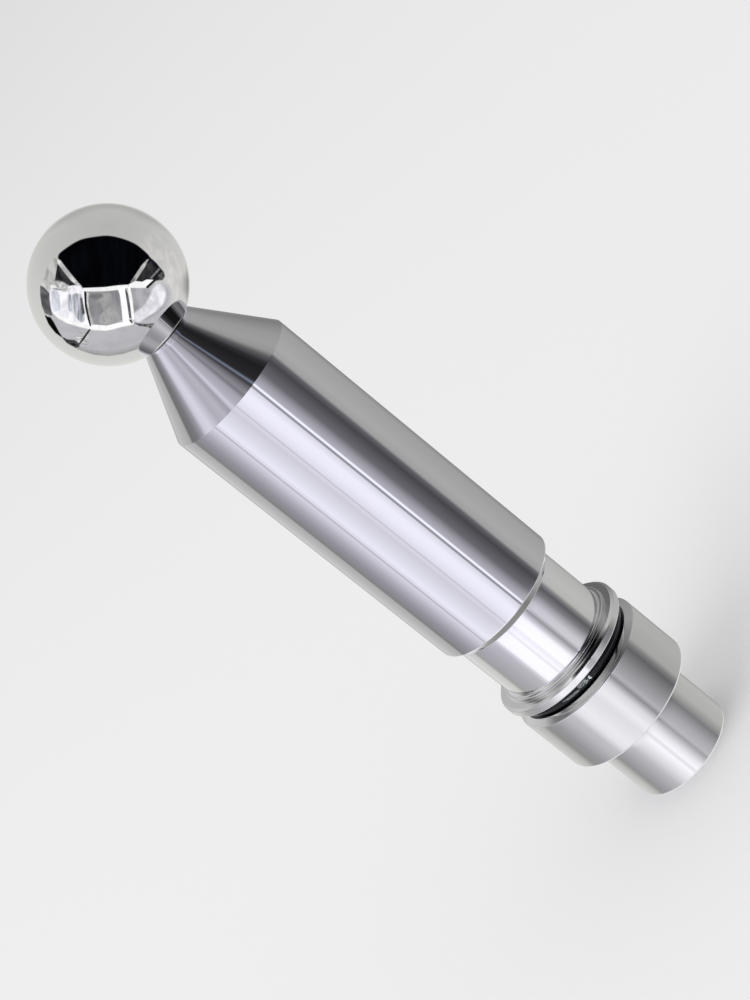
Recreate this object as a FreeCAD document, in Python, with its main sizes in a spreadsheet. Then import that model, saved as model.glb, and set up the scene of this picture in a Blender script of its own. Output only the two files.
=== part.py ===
import FreeCAD, Part
import os
import Sketcher

# Spindle test bar: a ground and polished steel bar with a precision ball on its nose.
# The bar stands on the end face of its spigot, which is Z = 0, with the ball on top.
# All lengths are in millimetres, and the axis of every piece is the Z axis.

# Driving dimensions, each with the feature that it sets
SIZES = {
    "spigot_diameter": (23.3, "spigot that the spindle or collet holds"),
    "spigot_length": (17.0, "end face to the back of the collar"),
    "spigot_end_chamfer": (0.4, "lead-in at the end face"),
    "spigot_root_fillet": (0.3, "corner between spigot and collar"),
    "centre_pilot_diameter": (3.15, "pilot of the grinding centre"),
    "centre_pilot_depth": (6.0, "end face to the end of the pilot wall"),
    "centre_mouth_diameter": (6.7, "mouth of the grinding centre's cone"),
    "centre_half_angle": (30.0, "grinding centre's cone, in degrees from the axis"),
    "collar_length": (14.0, "back face to the start of its front cone"),
    "collar_cone_length": (1.0, "front cone, along the axis"),
    "collar_cone_drop": (1.5, "front cone, from the collar in to the groove"),
    "collar_back_break": (0.3, "edge break at the back face"),
    "collar_front_break": (0.12, "edge break where the front cone starts"),
    "groove_width": (2.9, "seal groove"),
    "groove_depth": (4.3, "seal groove, from the collar in to its floor"),
    "seal_cord_diameter": (2.8, "cord of the O-ring"),
    "seal_clearance": (0.02, "O-ring to the groove floor"),
    "flange_length": (2.1, "groove to the flange's front face"),
    "flange_front_chamfer": (0.5, "flange's front edge"),
    "flange_back_break": (0.2, "edge break at the groove"),
    "flange_face_width": (2.1, "flange's front face, from the boss out to the collar"),
    "boss_length": (0.75, "height of the low boss on the flange's front face"),
    "boss_ledge": (0.9, "the boss, from the neck out to its edge"),
    "boss_break": (0.2, "edge break of the boss"),
    "neck_length": (14.7, "boss to the start of the run-out chamfer"),
    "neck_relief": (2.0, "how far the neck lies below the test cylinder"),
    "neck_root_fillet": (0.4, "corner between neck and boss"),
    "runout_chamfer_length": (2.0, "chamfer from the neck up to the test cylinder"),
    "cylinder_diameter": (30.0, "ground test cylinder"),
    "cylinder_length": (69.0, "ground test cylinder"),
    "nose_half_angle": (30.0, "nose cone, in degrees from the axis"),
    "nose_end_diameter": (12.0, "rim of the ball seat"),
    "nose_rim_break": (0.12, "edge break of the ball seat's rim"),
    "ball_diameter": (30.0, "precision ball"),
    "bond_gap": (0.08, "adhesive between the ball and its seat"),
    "dowel_diameter": (4.0, "dowel that holds the ball"),
    "dowel_length": (14.0, "dowel that holds the ball"),
    "dowel_chamfer": (0.4, "both ends of the dowel"),
    "dowel_clearance": (0.01, "dowel to the wall of each bore"),
    "dowel_depth_in_ball": (6.5, "ball surface to the dowel's upper end"),
    "dowel_end_gap": (0.6, "each end of the dowel to the end of its bore's wall"),
    "drill_half_angle": (59.0, "drilled tip of each blind hole, in degrees"),
}

# Diameters that follow from the driving dimensions, as formulas of the spreadsheet
WORKED_OUT = {
    "neck_diameter": ("=cylinder_diameter - 2 * neck_relief", "relief neck"),
    "boss_diameter": ("=neck_diameter + 2 * boss_ledge", "low boss"),
    "collar_diameter": ("=boss_diameter + 2 * flange_face_width", "collar and flange"),
    "cone_end_diameter": ("=collar_diameter - 2 * collar_cone_drop", "collar's front cone"),
    "groove_floor_diameter": ("=collar_diameter - 2 * groove_depth", "seal groove"),
}

FULL_TURN = 360.0
MATCH = 1e-4
ORIGIN_INDICES = (-1, 1)
VERTICAL_AXIS_INDEX = -2


doc = FreeCAD.newDocument("SpindleTestBar")
sheet = doc.addObject("Spreadsheet::Sheet", "Sizes")
for row, (alias, (size, meaning)) in enumerate({**SIZES, **WORKED_OUT}.items(), start=1):
    sheet.set("A%d" % row, str(size))
    sheet.setAlias("A%d" % row, alias)
    sheet.set("B%d" % row, meaning)
doc.recompute()


def total(*aliases):
    """Expression for the sum of some sizes."""
    return " + ".join("Sizes." + alias for alias in aliases)


def half(alias):
    """Expression for half of a size."""
    return "Sizes.%s / 2" % alias


def value(expression):
    """What an expression comes to at the sheet's present sizes."""
    return float(sheet.evalExpression(expression))


# Heights along the bar, as expressions of the sizes
COLLAR_BACK = total("spigot_length")
COLLAR_FRONT = total("spigot_length", "collar_length")
GROOVE_BACK = COLLAR_FRONT + " + " + total("collar_cone_length")
FLANGE_BACK = GROOVE_BACK + " + " + total("groove_width")
FLANGE_FRONT = FLANGE_BACK + " + " + total("flange_length")
BOSS_FRONT = FLANGE_FRONT + " + " + total("boss_length")
NECK_END = BOSS_FRONT + " + " + total("neck_length")
CYLINDER_START = NECK_END + " + " + total("runout_chamfer_length")
CYLINDER_END = CYLINDER_START + " + " + total("cylinder_length")
NOSE_LENGTH = (
    "(Sizes.cylinder_diameter - Sizes.nose_end_diameter) / 2 / tan(Sizes.nose_half_angle * 1 deg)"
)
NOSE_END = CYLINDER_END + " + " + NOSE_LENGTH
SEAT_RADIUS = "(Sizes.ball_diameter / 2 + Sizes.bond_gap)"
BALL_ABOVE_NOSE = "sqrt(%s ^ 2 - (Sizes.nose_end_diameter / 2) ^ 2)" % SEAT_RADIUS
BALL_HEIGHT = NOSE_END + " + " + BALL_ABOVE_NOSE
SEAT_FLOOR = BALL_HEIGHT + " - " + SEAT_RADIUS
BORE_RADIUS = "(Sizes.dowel_diameter / 2 + Sizes.dowel_clearance)"
DRILL_TIP = " / tan(Sizes.drill_half_angle * 1 deg)"
DOWEL_TOP = BALL_HEIGHT + " - Sizes.ball_diameter / 2 + Sizes.dowel_depth_in_ball"
DOWEL_BOTTOM = DOWEL_TOP + " - Sizes.dowel_length"


def new_body(label):
    """Adds an empty body whose label names the piece."""
    body = doc.addObject("PartDesign::Body", label)
    body.Label = label
    return body


def new_sketch(body, name):
    """Adds a sketch on the body's own XZ plane, where the sketch's Y is the bar's axis."""
    sketch = body.newObject("Sketcher::SketchObject", name)
    plane = next(item for item in body.Origin.OriginFeatures if item.Role == "XZ_Plane")
    sketch.AttachmentSupport = (plane, [""])
    sketch.MapMode = "FlatFace"
    return sketch


def bind(sketch, kind, point, expression):
    """Ties one coordinate of a sketch point, measured from the origin, to an expression."""
    size = value(expression)
    index = sketch.addConstraint(Sketcher.Constraint(kind, *ORIGIN_INDICES, *point, size))
    sketch.setExpression("Constraints[%d]" % index, expression)


def place_corner(sketch, point, radius, height):
    """Ties a corner of an outline to its radius and height. No radius means on the axis."""
    if radius is None:
        sketch.addConstraint(Sketcher.Constraint("PointOnObject", *point, VERTICAL_AXIS_INDEX))
    else:
        bind(sketch, "DistanceX", point, radius)
    if height is None:
        sketch.addConstraint(Sketcher.Constraint("DistanceY", *ORIGIN_INDICES, *point, 0.0))
    else:
        bind(sketch, "DistanceY", point, height)


def corner_vector(radius, height):
    """Where a corner lies in the sketch at the present sizes."""
    x = 0.0 if radius is None else value(radius)
    y = 0.0 if height is None else value(height)
    return FreeCAD.Vector(x, y, 0)


def add_chain(sketch, corners):
    """Draws straight lines from corner to corner and ties each corner to its sizes."""
    lines = []
    for start, end in zip(corners, corners[1:]):
        line = Part.LineSegment(corner_vector(*start), corner_vector(*end))
        lines.append(sketch.addGeometry(line, False))
    for first, second in zip(lines, lines[1:]):
        sketch.addConstraint(Sketcher.Constraint("Coincident", first, 2, second, 1))
    for line, corner in zip(lines, corners):
        place_corner(sketch, (line, 1), *corner)
    place_corner(sketch, (lines[-1], 2), *corners[-1])
    return lines


def closed_outline(body, name, corners):
    """Sketch of a closed outline with straight sides."""
    sketch = new_sketch(body, name)
    lines = add_chain(sketch, corners)
    closing = Part.LineSegment(corner_vector(*corners[-1]), corner_vector(*corners[0]))
    last = sketch.addGeometry(closing, False)
    sketch.addConstraint(Sketcher.Constraint("Coincident", lines[-1], 2, last, 1))
    sketch.addConstraint(Sketcher.Constraint("Coincident", last, 2, lines[0], 1))
    return sketch


def revolve(body, sketch, name, kind="PartDesign::Revolution"):
    """Turns an outline about the bar's axis, as a solid or as a cut."""
    feature = body.newObject(kind, name)
    feature.Profile = sketch
    feature.ReferenceAxis = (sketch, ["V_Axis"])
    feature.Angle = FULL_TURN
    doc.recompute()
    return feature


def cut(body, sketch, name):
    """Turned cut, which has to take material away."""
    before = body.Shape.Volume
    feature = revolve(body, sketch, name, "PartDesign::Groove")
    if not feature.Shape.Volume < before:
        raise RuntimeError(name + " cuts nothing")


def ring_edges(feature, radius, height):
    """Names of the feature's full circles with this radius at this height."""
    names = []
    for number, edge in enumerate(feature.Shape.Edges, start=1):
        curve = edge.Curve
        if not isinstance(curve, Part.Circle):
            continue
        if abs(curve.Radius - radius) < MATCH and abs(curve.Center.z - height) < MATCH:
            names.append("Edge%d" % number)
    return names


def dress_edge(body, kind, name, radius, height, alias):
    """Chamfers or rounds the body's edge at a radius and height, both expressions."""
    base = body.Tip
    edges = ring_edges(base, value(radius), value(height))
    if len(edges) != 1:
        raise RuntimeError("%s: %d edges found" % (name, len(edges)))
    feature = body.newObject(kind, name)
    feature.Base = (base, edges)
    size_name = "Radius" if kind == "PartDesign::Fillet" else "Size"
    feature.setExpression(size_name, "Sizes." + alias)
    doc.recompute()


def blind_hole(body, name, mouth, wall_end, towards):
    """Drilled hole on the axis, from its mouth to where its wall ends, with a drilled tip."""
    tip = "%s %s %s%s" % (wall_end, towards, BORE_RADIUS, DRILL_TIP)
    corners = [(None, mouth), (BORE_RADIUS, mouth), (BORE_RADIUS, wall_end), (None, tip)]
    cut(body, closed_outline(body, name + "Outline", corners), name)


def add_seat(sketch, lines):
    """Closes the bar's outline with the hollow seat of the ball and a line down the axis."""
    rim = corner_vector(half("nose_end_diameter"), NOSE_END)
    floor = corner_vector(None, SEAT_FLOOR)
    centre = corner_vector(None, BALL_HEIGHT)
    circle = Part.Circle(centre, FreeCAD.Vector(0, 0, 1), value(SEAT_RADIUS))
    arc = Part.ArcOfCircle(circle, circle.parameter(floor), circle.parameter(rim))
    seat = sketch.addGeometry(arc, False)
    axis = sketch.addGeometry(Part.LineSegment(floor, FreeCAD.Vector(0, 0, 0)), False)
    sketch.addConstraint(Sketcher.Constraint("Coincident", lines[-1], 2, seat, 2))
    sketch.addConstraint(Sketcher.Constraint("Coincident", seat, 1, axis, 1))
    sketch.addConstraint(Sketcher.Constraint("Coincident", axis, 2, lines[0], 1))
    for point in (1, 3):
        on_axis = Sketcher.Constraint("PointOnObject", seat, point, VERTICAL_AXIS_INDEX)
        sketch.addConstraint(on_axis)
    size = value(SEAT_RADIUS)
    index = sketch.addConstraint(Sketcher.Constraint("Radius", seat, size))
    sketch.setExpression("Constraints[%d]" % index, SEAT_RADIUS)


def make_bar_body():
    """The bar: spigot, collar, seal groove, flange, relief neck, test cylinder and nose."""
    body = new_body("bar_body")
    outline = new_sketch(body, "TurnedOutline")
    corners = [
        (None, None),
        (half("spigot_diameter"), None),
        (half("spigot_diameter"), COLLAR_BACK),
        (half("collar_diameter"), COLLAR_BACK),
        (half("collar_diameter"), COLLAR_FRONT),
        (half("cone_end_diameter"), GROOVE_BACK),
        (half("groove_floor_diameter"), GROOVE_BACK),
        (half("groove_floor_diameter"), FLANGE_BACK),
        (half("collar_diameter"), FLANGE_BACK),
        (half("collar_diameter"), FLANGE_FRONT),
        (half("boss_diameter"), FLANGE_FRONT),
        (half("boss_diameter"), BOSS_FRONT),
        (half("neck_diameter"), BOSS_FRONT),
        (half("neck_diameter"), NECK_END),
        (half("cylinder_diameter"), CYLINDER_START),
        (half("cylinder_diameter"), CYLINDER_END),
        (half("nose_end_diameter"), NOSE_END),
    ]
    add_seat(outline, add_chain(outline, corners))
    revolve(body, outline, "TurnedBar")
    add_grinding_centre(body)
    bore_end = DOWEL_BOTTOM + " - Sizes.dowel_end_gap"
    blind_hole(body, "DowelBore", NOSE_END, bore_end, "-")
    dress_bar_edges(body)
    return body


def add_grinding_centre(body):
    """Centre hole in the spigot's end face: a 60 degree cone, a pilot and its drilled tip."""
    mouth_step = "(Sizes.centre_mouth_diameter - Sizes.centre_pilot_diameter) / 2"
    cone_depth = mouth_step + " / tan(Sizes.centre_half_angle * 1 deg)"
    pilot_end = total("centre_pilot_depth")
    tip = pilot_end + " + Sizes.centre_pilot_diameter / 2" + DRILL_TIP
    corners = [
        (None, None),
        (half("centre_mouth_diameter"), None),
        (half("centre_pilot_diameter"), cone_depth),
        (half("centre_pilot_diameter"), pilot_end),
        (None, tip),
    ]
    cut(body, closed_outline(body, "GrindingCentreOutline", corners), "GrindingCentre")


def dress_bar_edges(body):
    """Chamfers, edge breaks and root fillets of the bar."""
    chamfer = "PartDesign::Chamfer"
    fillet = "PartDesign::Fillet"
    spigot = half("spigot_diameter")
    collar = half("collar_diameter")
    boss = half("boss_diameter")
    neck = half("neck_diameter")
    rim = half("nose_end_diameter")
    dress_edge(body, chamfer, "SpigotLeadIn", spigot, "0", "spigot_end_chamfer")
    dress_edge(body, fillet, "SpigotRoot", spigot, COLLAR_BACK, "spigot_root_fillet")
    dress_edge(body, chamfer, "CollarBackBreak", collar, COLLAR_BACK, "collar_back_break")
    dress_edge(body, chamfer, "CollarFrontBreak", collar, COLLAR_FRONT, "collar_front_break")
    dress_edge(body, chamfer, "FlangeBackBreak", collar, FLANGE_BACK, "flange_back_break")
    dress_edge(body, chamfer, "FlangeChamfer", collar, FLANGE_FRONT, "flange_front_chamfer")
    dress_edge(body, chamfer, "BossBreak", boss, BOSS_FRONT, "boss_break")
    dress_edge(body, fillet, "NeckRoot", neck, BOSS_FRONT, "neck_root_fillet")
    dress_edge(body, chamfer, "SeatRimBreak", rim, NOSE_END, "nose_rim_break")


def make_master_ball():
    """The precision ball, with the blind bore that its dowel is bonded into.

    Its body starts at the ball's lowest point, which faces the seat.
    """
    body = new_body("master_ball")
    body.setExpression("Placement.Base.z", BALL_HEIGHT + " - " + half("ball_diameter"))
    ball = body.newObject("PartDesign::AdditiveSphere", "Ball")
    ball.setExpression("Radius", half("ball_diameter"))
    ball.setExpression("Placement.Base.z", half("ball_diameter"))
    doc.recompute()
    bore_end = total("dowel_depth_in_ball", "dowel_end_gap")
    blind_hole(body, "BallBore", None, bore_end, "+")
    return body


def make_ball_dowel():
    """The plain dowel that joins the ball to the nose. Its body starts at its lower end."""
    body = new_body("ball_dowel")
    body.setExpression("Placement.Base.z", DOWEL_BOTTOM)
    end_radius = half("dowel_diameter") + " - Sizes.dowel_chamfer"
    upper_chamfer = total("dowel_length") + " - Sizes.dowel_chamfer"
    corners = [
        (None, None),
        (end_radius, None),
        (half("dowel_diameter"), total("dowel_chamfer")),
        (half("dowel_diameter"), upper_chamfer),
        (end_radius, total("dowel_length")),
        (None, total("dowel_length")),
    ]
    revolve(body, closed_outline(body, "DowelOutline", corners), "TurnedDowel")
    return body


def make_o_ring():
    """The rubber O-ring that lies on the floor of the seal groove."""
    ring = doc.addObject("Part::Torus", "o_ring")
    ring.Label = "o_ring"
    cord_radius = half("seal_cord_diameter")
    floor_radius = half("groove_floor_diameter")
    ring.setExpression("Radius2", cord_radius)
    ring.setExpression("Radius1", floor_radius + " + Sizes.seal_clearance + " + cord_radius)
    ring.setExpression("Placement.Base.z", GROOVE_BACK + " + " + half("groove_width"))
    return ring


def check_document():
    """Stops if any object of the document failed."""
    for item in doc.Objects:
        for word in ("Invalid", "Error"):
            if word in item.State:
                raise RuntimeError("%s: %s" % (item.Name, item.State))


def check_piece(piece):
    """Stops if a piece has no shape or an invalid one."""
    shape = piece.Shape
    if shape.isNull() or not shape.isValid() or len(shape.Solids) != 1:
        raise RuntimeError(piece.Label + " has no valid solid")


pieces = [make_bar_body(), make_master_ball(), make_ball_dowel(), make_o_ring()]
doc.recompute()
check_document()
for piece in pieces:
    check_piece(piece)

os.makedirs("parts", exist_ok=True)
for piece in pieces:
    piece.Shape.exportStep("parts/%s.step" % piece.Label)
    box = piece.Shape.BoundBox
    print(piece.Label, "volume %.1f, Z %.2f to %.2f" % (piece.Shape.Volume, box.ZMin, box.ZMax))
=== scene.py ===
import math

import bpy
from mathutils import Matrix, Vector
from mathutils.geometry import delaunay_2d_cdt


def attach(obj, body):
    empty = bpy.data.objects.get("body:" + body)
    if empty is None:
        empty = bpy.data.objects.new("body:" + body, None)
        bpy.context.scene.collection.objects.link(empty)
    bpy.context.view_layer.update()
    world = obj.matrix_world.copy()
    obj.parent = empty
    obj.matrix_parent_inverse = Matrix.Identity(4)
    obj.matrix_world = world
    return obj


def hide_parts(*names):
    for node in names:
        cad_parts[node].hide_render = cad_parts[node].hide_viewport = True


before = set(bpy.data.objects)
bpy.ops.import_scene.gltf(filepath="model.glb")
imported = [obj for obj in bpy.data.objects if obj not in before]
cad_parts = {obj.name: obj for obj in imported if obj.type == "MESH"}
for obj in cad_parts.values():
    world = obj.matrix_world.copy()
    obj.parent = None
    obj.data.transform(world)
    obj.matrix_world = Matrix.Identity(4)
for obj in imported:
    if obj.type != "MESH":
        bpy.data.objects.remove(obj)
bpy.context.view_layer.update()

# Spindle test bar, standing on the end face of its spigot with the ball on top.
# The bar's axis is Z. Sizes of its pieces are in millimetres, the rest in metres.
MM = 0.001

# Camera: it looks down on the bar and is rolled, so that the bar lies aslant
LENS_MM = 84.36
SENSOR_MM = 36.0
AIM_HEIGHT = 0.086
CAMERA_DISTANCE = 0.4544
CAMERA_ELEVATION = math.radians(18.96)
CAMERA_ROLL = math.radians(38.90)

BACK = Vector((0, -math.cos(CAMERA_ELEVATION), math.sin(CAMERA_ELEVATION)))
LEVEL_RIGHT = Vector((1, 0, 0))
LEVEL_UP = BACK.cross(LEVEL_RIGHT)
RIGHT = math.sin(CAMERA_ROLL) * LEVEL_RIGHT - math.cos(CAMERA_ROLL) * LEVEL_UP
UP = BACK.cross(RIGHT)
CAMERA_PLACE = Vector((0, 0, AIM_HEIGHT)) + CAMERA_DISTANCE * BACK

# The bar's half section
SPIGOT_RADIUS = 11.65
COLLAR_RADIUS = 16.0
BOSS_RADIUS = 13.9
NECK_RADIUS = 13.0
CYLINDER_RADIUS = 15.0
NOSE_RADIUS = 6.0
CONE_RADIUS = 14.5
GROOVE_RADIUS = 11.7
PILOT_RADIUS = 1.575
MOUTH_RADIUS = 3.35
BORE_RADIUS = 2.01
DRILL_SLOPE = 0.6009
PILOT_END = 6.0
PILOT_START = 3.074
COLLAR_BACK = 17.0
COLLAR_FRONT = 31.0
GROOVE_BACK = 32.0
GROOVE_FRONT = 34.9
FLANGE_FRONT = 37.0
FLANGE_CHAMFER = 0.5
BOSS_FRONT = 37.75
NECK_END = 52.45
CYLINDER_BACK = 54.45
CYLINDER_FRONT = 123.45
NOSE_END = 139.038
BORE_IN_NOSE_END = 129.773

# A point of the seat beside the rim, which the rounding of the rim leads to, and how many
# degrees inside the rim the seat's own curve starts
LIP_RADIUS = 5.6
LIP_DROP = 0.17
SEAT_START = 2.0

# The ball, its seat and its blind bore
BALL_HEIGHT = 152.873
BALL_RADIUS = 15.0
SEAT_RADIUS = 15.08
BORE_IN_BALL_END = 144.973

# The seal ring
SEAL_HEIGHT = 33.45
SEAL_MIDDLE_RADIUS = 13.12
SEAL_CORD_RADIUS = 1.4

# Points round the axis, along a rounded corner, along the seat, along the ball and round
# the cord of the seal ring, and how far beside a rounded corner the faces are kept flat
TURNS = 192
CORNER_STEPS = 7
SEAT_STEPS = 12
BALL_STEPS = 110
CORD_STEPS = 40
FLAT_MARGIN = 0.12


def turned(corners):
    """Outline through corners of (radius, height, rounding), with an arc of that radius in
    each corner and one more point on each side of it that keeps the faces flat."""
    made = []
    last = len(corners) - 1
    for i, (radius, height, rounding) in enumerate(corners):
        here = Vector((radius, height))
        if rounding == 0 or i in (0, last):
            made.append(here)
            continue
        before = Vector(corners[i - 1][:2]) - here
        after = Vector(corners[i + 1][:2]) - here
        angle = before.angle(after)
        cut = rounding / math.tan(angle / 2)
        flat = cut + min(FLAT_MARGIN, (min(before.length, after.length) - cut) / 3)
        before.normalize()
        after.normalize()
        middle = here + (before + after).normalized() * rounding / math.sin(angle / 2)
        first = here + before * cut - middle
        end = here + after * cut - middle
        made.append(here + before * flat)
        sweep = math.pi - angle
        for k in range(CORNER_STEPS + 1):
            share = k / CORNER_STEPS
            first_part = math.sin((1 - share) * sweep) / math.sin(sweep)
            end_part = math.sin(share * sweep) / math.sin(sweep)
            made.append(middle + first_part * first + end_part * end)
        made.append(here + after * flat)
    return made


def arc(centre_height, size, start, end, steps):
    """Points of a circle on the axis, from one angle above the horizontal to another."""
    made = []
    for k in range(steps + 1):
        angle = math.radians(start + (end - start) * k / steps)
        made.append(Vector((size * math.cos(angle), centre_height + size * math.sin(angle))))
    return made


# Signs of the corners of a square
SQUARE = ((-1, -1), (1, -1), (1, 1), (-1, 1))


def new_object(name, vertices, faces):
    """A new piece from its points and faces."""
    mesh = bpy.data.meshes.new(name)
    mesh.from_pydata(vertices, [], faces)
    mesh.update()
    made = bpy.data.objects.new(name, mesh)
    bpy.context.scene.collection.objects.link(made)
    return made


def lathe(name, outline, closed=False):
    """Turns an outline of (radius, height) round the axis. Points on the axis stay single."""
    vertices = []
    rings = []
    for radius, height in outline:
        start = len(vertices)
        if radius == 0:
            vertices.append((0, 0, height * MM))
            rings.append([start] * TURNS)
            continue
        for k in range(TURNS):
            angle = 2 * math.pi * k / TURNS
            x = radius * math.cos(angle)
            y = radius * math.sin(angle)
            vertices.append((x * MM, y * MM, height * MM))
        rings.append([start + k for k in range(TURNS)])
    faces = []
    pairs = list(zip(rings, rings[1:]))
    if closed:
        pairs.append((rings[-1], rings[0]))
    for low, high in pairs:
        for k in range(TURNS):
            after = (k + 1) % TURNS
            corners = [low[k], low[after], high[after], high[k]]
            # At the axis two corners are one point, and the face is a triangle
            faces.append(list(dict.fromkeys(corners)))
    made = new_object(name, vertices, faces)
    for face in made.data.polygons:
        face.use_smooth = True
    return made


def make_bar():
    """Spigot, collar, groove, flange, neck, cylinder and nose, turned as one piece."""
    seat_edge = math.degrees(math.acos(BORE_RADIUS / SEAT_RADIUS))
    rim_edge = math.degrees(math.acos(NOSE_RADIUS / SEAT_RADIUS))
    centre_tip = PILOT_END + PILOT_RADIUS * DRILL_SLOPE
    bore_tip = BORE_IN_NOSE_END - BORE_RADIUS * DRILL_SLOPE
    # Radius, height and rounding of each corner, from the centre in the spigot to the rim
    corners = (
        (0.0, centre_tip, 0.0),
        (PILOT_RADIUS, PILOT_END, 0.05),
        (PILOT_RADIUS, PILOT_START, 0.1),
        (MOUTH_RADIUS, 0.0, 0.1),
        (SPIGOT_RADIUS, 0.0, 0.42),
        (SPIGOT_RADIUS, COLLAR_BACK, 0.3),
        (COLLAR_RADIUS, COLLAR_BACK, 0.32),
        (COLLAR_RADIUS, COLLAR_FRONT, 0.15),
        (CONE_RADIUS, GROOVE_BACK, 0.06),
        (GROOVE_RADIUS, GROOVE_BACK, 0.1),
        (GROOVE_RADIUS, GROOVE_FRONT, 0.1),
        (COLLAR_RADIUS, GROOVE_FRONT, 0.22),
        (COLLAR_RADIUS, FLANGE_FRONT - FLANGE_CHAMFER, 0.12),
        (COLLAR_RADIUS - FLANGE_CHAMFER, FLANGE_FRONT, 0.12),
        (BOSS_RADIUS, FLANGE_FRONT, 0.08),
        (BOSS_RADIUS, BOSS_FRONT, 0.22),
        (NECK_RADIUS, BOSS_FRONT, 0.4),
        (NECK_RADIUS, NECK_END, 0.1),
        (CYLINDER_RADIUS, CYLINDER_BACK, 0.15),
        (CYLINDER_RADIUS, CYLINDER_FRONT, 0.1),
        (NOSE_RADIUS, NOSE_END, 0.12),
        (LIP_RADIUS, NOSE_END - LIP_DROP, 0.0),
    )
    outline = turned(corners)[:-1]
    outline += arc(BALL_HEIGHT, SEAT_RADIUS, -rim_edge - SEAT_START, -seat_edge, SEAT_STEPS)
    outline.append(Vector((BORE_RADIUS, BORE_IN_NOSE_END)))
    outline.append(Vector((0.0, bore_tip)))
    return lathe("test_bar", outline)


def make_ball():
    """The precision ball, from the roof of its blind bore round to its top."""
    bore_edge = math.degrees(math.acos(BORE_RADIUS / BALL_RADIUS))
    outline = [Vector((0.0, BORE_IN_BALL_END + BORE_RADIUS * DRILL_SLOPE))]
    outline.append(Vector((BORE_RADIUS, BORE_IN_BALL_END)))
    outline += arc(BALL_HEIGHT, BALL_RADIUS, -bore_edge, 90, BALL_STEPS)[:-1]
    outline.append(Vector((0.0, BALL_HEIGHT + BALL_RADIUS)))
    return lathe("precision_ball", outline)


def make_seal():
    """The rubber ring in the groove. Its cord is drawn in on the groove's floor."""
    outline = []
    for k in range(CORD_STEPS):
        angle = 2 * math.pi * k / CORD_STEPS
        radius = SEAL_MIDDLE_RADIUS + SEAL_CORD_RADIUS * math.cos(angle)
        height = SEAL_HEIGHT + SEAL_CORD_RADIUS * math.sin(angle)
        outline.append(Vector((radius, height)))
    return lathe("seal_ring", outline, closed=True)


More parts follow.
